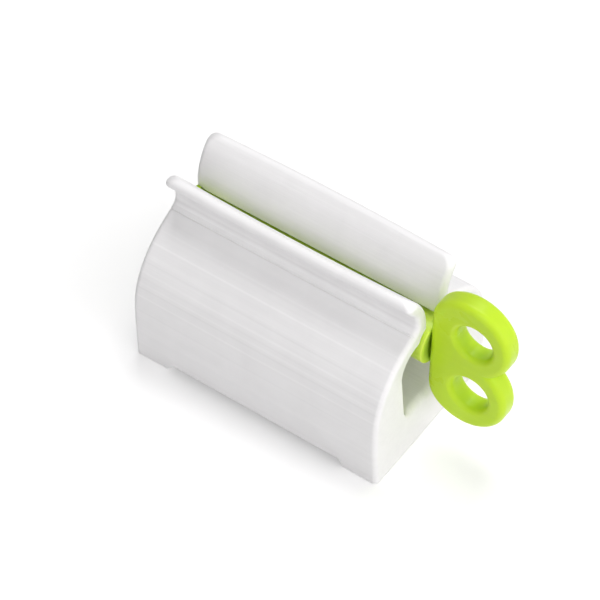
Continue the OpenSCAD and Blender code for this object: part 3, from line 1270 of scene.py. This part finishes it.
@dataclass
class Key(WinderPart):
    """The green winding key: two rings one over the other, with one flat side on the shaft's face."""

    thickness: float = 7.0
    ring_r: float = 13.5
    ring_rise: float = 10.6
    ring_x: float = 97.3
    hole_r: float = 6.0
    hole_shift: float = 1.9
    edge_r: float = 2.0
    flat_round_r: float = 10.0
    hole_edge_r: float = 1.6
    edge_steps: int = 8
    arc_steps: int = 96
    flat_steps: int = 12
    corner_steps: int = 16

    def outline(self, inset: float) -> list[Point]:
        """The key's outline as (x, height over the axis), moved inward by an inset.

        Args:
            inset: Distance from the key's edge.

        Returns:
            Points of the closed outline.
        """
        run = self.ring_x - self.face_x - self.flat_round_r
        join = 180 - math.degrees(math.acos(run / (self.ring_r - self.flat_round_r)))
        side = self.ring_rise + math.sqrt((self.ring_r - self.flat_round_r) ** 2 - run ** 2)
        end = -math.degrees(math.asin(self.ring_rise / (self.ring_r - inset)))
        upper = arc((self.face_x + self.flat_round_r, side), self.flat_round_r - inset, 180, join,
                    self.corner_steps)
        upper += arc((self.ring_x, self.ring_rise), self.ring_r - inset, join, end, self.arc_steps)[1:]
        lower = [(x, -z) for x, z in reversed(upper[:-1])]
        flat_points = [(self.face_x + inset, -side + 2 * side * i / self.flat_steps)
                       for i in range(1, self.flat_steps)]
        return upper + lower + flat_points

    def build(self) -> bpy.types.Object:
        """Builds the key.

        Returns:
            The key.
        """
        shell = Shell()
        half = self.thickness / 2
        turns = [math.pi / 2 * k / self.edge_steps for k in range(self.edge_steps + 1)]
        loops: dict[int, list[list[Vert]]] = {-1: [], 1: []}
        for hole in (0, -1, 1):
            edge = self.edge_r if hole == 0 else self.hole_edge_r
            rows = []
            for side in (-1, 1):
                part = []
                for turn in turns:
                    inset = edge * (1 - math.sin(turn))
                    y = side * (half - edge * (1 - math.cos(turn)))
                    outline = self.loop(hole, inset)
                    part.append(shell.row([(self.left_x + x, y, self.axis_z + z) for x, z in outline]))
                loops[side].append(part[0])
                rows += part if side < 0 else list(reversed(part))
            shell.sheet(rows, closed=True)
        for side in (-1, 1):
            self.face(shell, loops[side])
        self.tang_block(shell, 0.1, 1.5)
        return self.ended(shell, "winding_key_plate")

    def loop(self, hole: int, inset: float) -> list[Point]:
        """The outline (0) or one finger hole's edge (-1 or 1), moved into the material.

        Args:
            hole: 0, -1 or 1.
            inset: Distance into the material.

        Returns:
            Points of the closed loop.
        """
        if hole == 0:
            return self.outline(inset)
        centre = (self.ring_x + self.hole_shift, hole * self.ring_rise)
        return arc(centre, self.hole_r + inset, 0, 360, self.arc_steps)[:-1]

    @staticmethod
    def face(shell: Shell, loops: Sequence[Row]) -> None:
        """Fills the flat face between the outline and the two holes.

        Args:
            shell: The key's mesh.
            loops: Rows of the outline and of the holes.
        """
        edges = []
        for row in loops:
            for a, b in zip(row, [*row[1:], row[0]]):
                edges.append(shell.bm.edges.get((a, b)) or shell.bm.edges.new((a, b)))
        bmesh.ops.triangle_fill(shell.bm, edges=edges, use_beauty=True)


@dataclass
class EndCap(WinderPart):
    """The green cap on the shaft's spigot, sunk in the stand's left end, with a shallow dish in its face."""

    outer_x: float = 0.9
    inner_x: float = 2.55
    radius: float = 8.8
    bore_r: float = 3.2
    edge_r: float = 0.4
    dish: float = 0.15
    hub_w: float = 0.9
    rim_w: float = 1.1

    def build(self) -> bpy.types.Object:
        """Builds the cap as a turned ring with rounded edges.

        Returns:
            The cap.
        """
        shell = Shell()
        e, outer, cut = self.edge_r, self.outer_x, self.chamfer
        rounded = [(outer + e - x, self.radius - e + r) for r, x in arc((0.0, 0.0), e, 0, 90, 4)]
        profile = [(outer, self.bore_r + cut), (outer + self.dish, self.bore_r + self.hub_w),
                   (outer + self.dish, self.radius - self.rim_w), (outer, self.radius - e), *sorted(rounded),
                   (self.inner_x, self.radius), (self.inner_x, self.bore_r), (outer + cut, self.bore_r),
                   (outer, self.bore_r + cut)]
        shell.turned(profile, (self.left_x, 0.0, self.axis_z), False)
        return shell.piece("shaft_end_cap")


@dataclass
class Pad:
    """One rubber pad under a corner foot, with a shallow dish underneath."""

    node: str
    radius: float = 4.5
    height: float = 1.6
    edge_r: float = 0.3
    dish: float = 0.12
    dish_in: float = 1.3
    rim_in: float = 1.0

    def build(self) -> bpy.types.Object:
        """Builds the pad where its CAD node is.

        Returns:
            The pad.
        """
        low, high = (Vector(v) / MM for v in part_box(self.node))
        shell = Shell()
        e, r, h = self.edge_r, self.radius, self.height
        profile = [(self.dish, 0.0), (self.dish, r - self.dish_in), (0.0, r - self.rim_in), (0.0, r - e),
                   (e, r), (h, r), (h, 0.0)]
        shell.turned(profile, ((low.x + high.x) / 2, (low.y + high.y) / 2, 0.0), True, steps=48)
        return shell.piece(f"{self.node}_rubber")


# The studio


@dataclass
class Studio:
    """The floor, the lights and the camera at the photograph's angle."""

    azimuth: float = 35.15
    elevation: float = 50.15
    distance: float = 1000.0
    lens: float = 209.86
    target: Spot = (-15.0, -1.84, 26.1)
    lamp_target: Spot = (0.0, 0.0, 30.0)
    floor_half: float = 1500.0
    floor_colour: Colour = (0.72, 0.72, 0.72)
    seen_floor_colour: Colour = (0.98, 0.98, 0.98)
    ambient: float = 0.05
    ambient_colour: Colour = (1.0, 0.985, 0.99)
    side_light: float = 1.6
    floor_lift: float = 0.17

    def build(self) -> None:
        """Builds the whole studio."""
        self.floor()
        self.world()
        self.lamp("overhead_softbox", (-100.0, 300.0, 900.0), 500.0, 4.3)
        self.lamp("right_softbox", (900.0, -50.0, 450.0), 450.0, 0.9)
        self.lamp("front_softbox", (200.0, -600.0, 750.0), 500.0, 1.9)
        self.lamp("low_softbox", (0.0, -950.0, 100.0), 500.0, 1.2)
        self.camera()
        bpy.context.scene.view_settings.view_transform = "Standard"

    def floor(self) -> None:
        """A plain pale floor, which keeps the object's shadow."""
        shell = Shell()
        h = self.floor_half
        shell.face(shell.row([(-h, -h, 0.0), (h, -h, 0.0), (h, h, 0.0), (-h, h, 0.0)]))
        floor = shell.piece("studio_floor")
        material = bpy.data.materials.new("studio_floor_white")
        material.use_nodes = True
        wiring = Wiring(material.node_tree)
        path = wiring.add("ShaderNodeLightPath")
        seen = wiring.math("MAXIMUM", path.outputs["Is Camera Ray"], path.outputs["Is Glossy Ray"])
        seen = wiring.math("MAXIMUM", seen, path.outputs["Is Transmission Ray"])
        plain = wiring.add("ShaderNodeBsdfDiffuse", {"Color": (*self.floor_colour, 1.0)})
        bright = wiring.add("ShaderNodeBsdfDiffuse", {"Color": (*self.seen_floor_colour, 1.0)})
        lift = wiring.add("ShaderNodeEmission", {"Strength": self.floor_lift})
        lifted = wiring.add("ShaderNodeAddShader", {0: bright.outputs[0], 1: lift.outputs[0]})
        both = wiring.add("ShaderNodeMixShader", {0: seen, 1: plain.outputs[0], 2: lifted.outputs[0]})
        wiring.add("ShaderNodeOutputMaterial", {"Surface": both.outputs[0]})
        floor.data.materials.append(material)

    def world(self) -> None:
        """Even light from all around, and plain white where the camera sees past the floor."""
        world = bpy.data.worlds.new("studio")
        bpy.context.scene.world = world
        world.use_nodes = True
        wiring = Wiring(world.node_tree)
        path = wiring.add("ShaderNodeLightPath")
        seen = wiring.math("MAXIMUM", path.outputs["Is Camera Ray"], path.outputs["Is Glossy Ray"])
        where = wiring.add("ShaderNodeTexCoord").outputs["Generated"]
        right = wiring.add("ShaderNodeSeparateXYZ", {"Vector": where}).outputs["X"]
        strength = wiring.remap(right, 0.0, 1.0, self.ambient, self.ambient + self.side_light)
        colour = (*self.ambient_colour, 1.0)
        light = wiring.add("ShaderNodeBackground", {"Color": colour, "Strength": strength})
        white = wiring.add("ShaderNodeBackground", {"Color": (1.0, 1.0, 1.0, 1.0), "Strength": 1.0})
        both = wiring.add("ShaderNodeMixShader", {0: seen, 1: light.outputs[0], 2: white.outputs[0]})
        wiring.add("ShaderNodeOutputWorld", {"Surface": both.outputs[0]})

    def lamp(self, name: str, spot: Spot, size: float, energy: float) -> None:
        """Adds a square soft lamp that faces the object.

        Args:
            name: Name of the lamp.
            spot: Its place.
            size: Length of its side.
            energy: Its power in watts.
        """
        data = bpy.data.lights.new(name, "AREA")
        data.size = size * MM
        data.energy = energy
        lamp = bpy.data.objects.new(name, data)
        bpy.context.scene.collection.objects.link(lamp)
        lamp.location = Vector(spot) * MM
        aim = Vector(self.lamp_target) * MM - lamp.location
        lamp.rotation_euler = aim.to_track_quat("-Z", "Y").to_euler()

    def camera(self) -> None:
        """Sets the camera at the angle and the distance of the photograph."""
        data = bpy.data.cameras.new("photo_camera")
        data.lens = self.lens
        data.sensor_width = 36.0
        data.clip_end = 20.0
        camera = bpy.data.objects.new("photo_camera", data)
        bpy.context.scene.collection.objects.link(camera)
        a, e = math.radians(self.azimuth), math.radians(self.elevation)
        back = Vector((math.sin(a) * math.cos(e), -math.cos(a) * math.cos(e), math.sin(e)))
        camera.location = (Vector(self.target) + self.distance * back) * MM
        camera.rotation_euler = back.to_track_quat("Z", "Y").to_euler()
        bpy.context.scene.camera = camera


def main() -> None:
    """Builds every piece around the frame, and the studio."""
    logging.basicConfig(level=logging.INFO, format="%(name)s: %(message)s")
    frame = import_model()
    axis_z = frame["joints"][0]["pos_m"][2] / MM
    stand = Stand(axis_z=axis_z)
    effects = SurfaceEffects(stand.tone_lines())
    effects.build()
    place(stand.build(), Body.STAND, Slot.WHITE, ["body_shell"], WHITE_PLASTIC.material(effects))
    for part, slot, node, finish in ((Shaft, Slot.SHAFT, "split_shaft", SHAFT_PLASTIC),
                                     (Key, Slot.KEY, "winding_key", KEY_PLASTIC),
                                     (EndCap, Slot.CAP, "end_cap", CAP_PLASTIC)):
        place(part(stand.left_x, axis_z).build(), Body.WINDER, slot, [node], finish.material(effects))
    rubber = PAD_RUBBER.material(effects)
    for node in ("front_left_pad", "front_right_pad", "rear_left_pad", "rear_right_pad"):
        place(Pad(node).build(), Body.STAND, Slot.PAD, [node], rubber)
    Studio().build()


if __name__ == "__main__":
    main()
